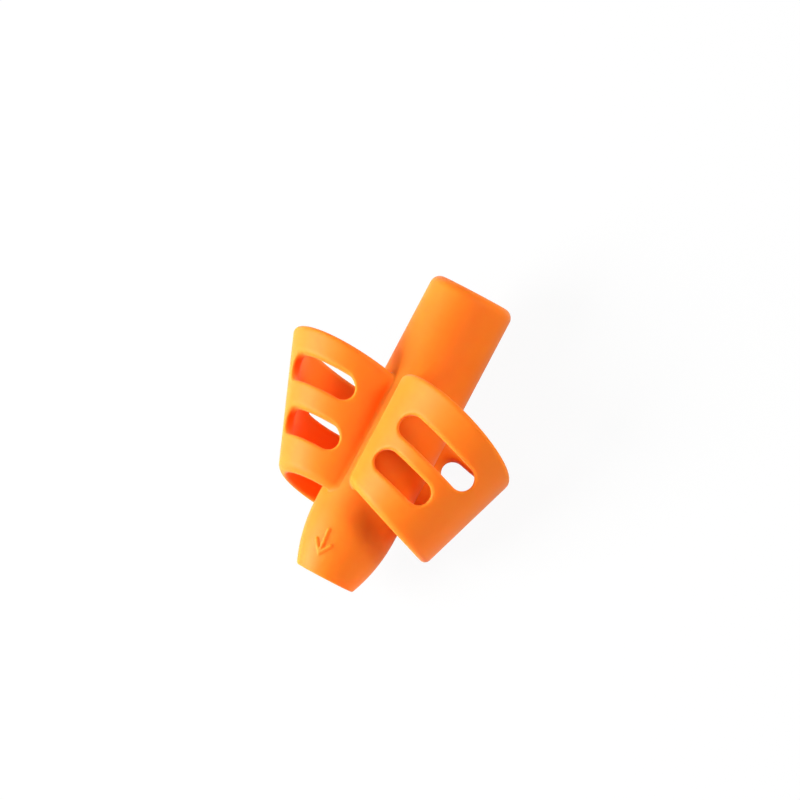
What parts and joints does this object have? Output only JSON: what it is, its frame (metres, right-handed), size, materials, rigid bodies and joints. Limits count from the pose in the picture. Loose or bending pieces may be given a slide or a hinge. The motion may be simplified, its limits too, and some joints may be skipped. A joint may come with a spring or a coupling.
{
  "type": "pencil grip",
  "caption": "Soft pencil grip: a tube with a tapered nose that slides onto a pencil and carries a slotted, springy finger cuff on each side of its crest.",
  "frame": {"origin": "middle of the pencil bore at the nose end", "axes": "+X along the bore from the nose to the rear end, +Y to the left cuff, +Z to the crest between the cuffs"},
  "size_m": [0.044, 0.0399, 0.0213],
  "materials": {
    "silicone": "matte"
  },
  "bodies": {
    "barrel": {"barrel": "silicone"},
    "left_cuff": {"left_finger_cuff": "silicone"},
    "right_cuff": {"right_finger_cuff": "silicone"}
  },
  "joints": [
    {"name": "left_cuff_flex", "type": "hinge", "parent": "barrel", "child": "left_cuff", "pos_m": [0.02, 0, 0], "axis": [1, 0, 0], "range_deg": [-5, 5], "stiffness_Nm_per_rad": 0.03},
    {"name": "right_cuff_flex", "type": "hinge", "parent": "barrel", "child": "right_cuff", "pos_m": [0.02, 0, 0], "axis": [-1, 0, 0], "range_deg": [-5, 5], "stiffness_Nm_per_rad": 0.03}
  ]
}
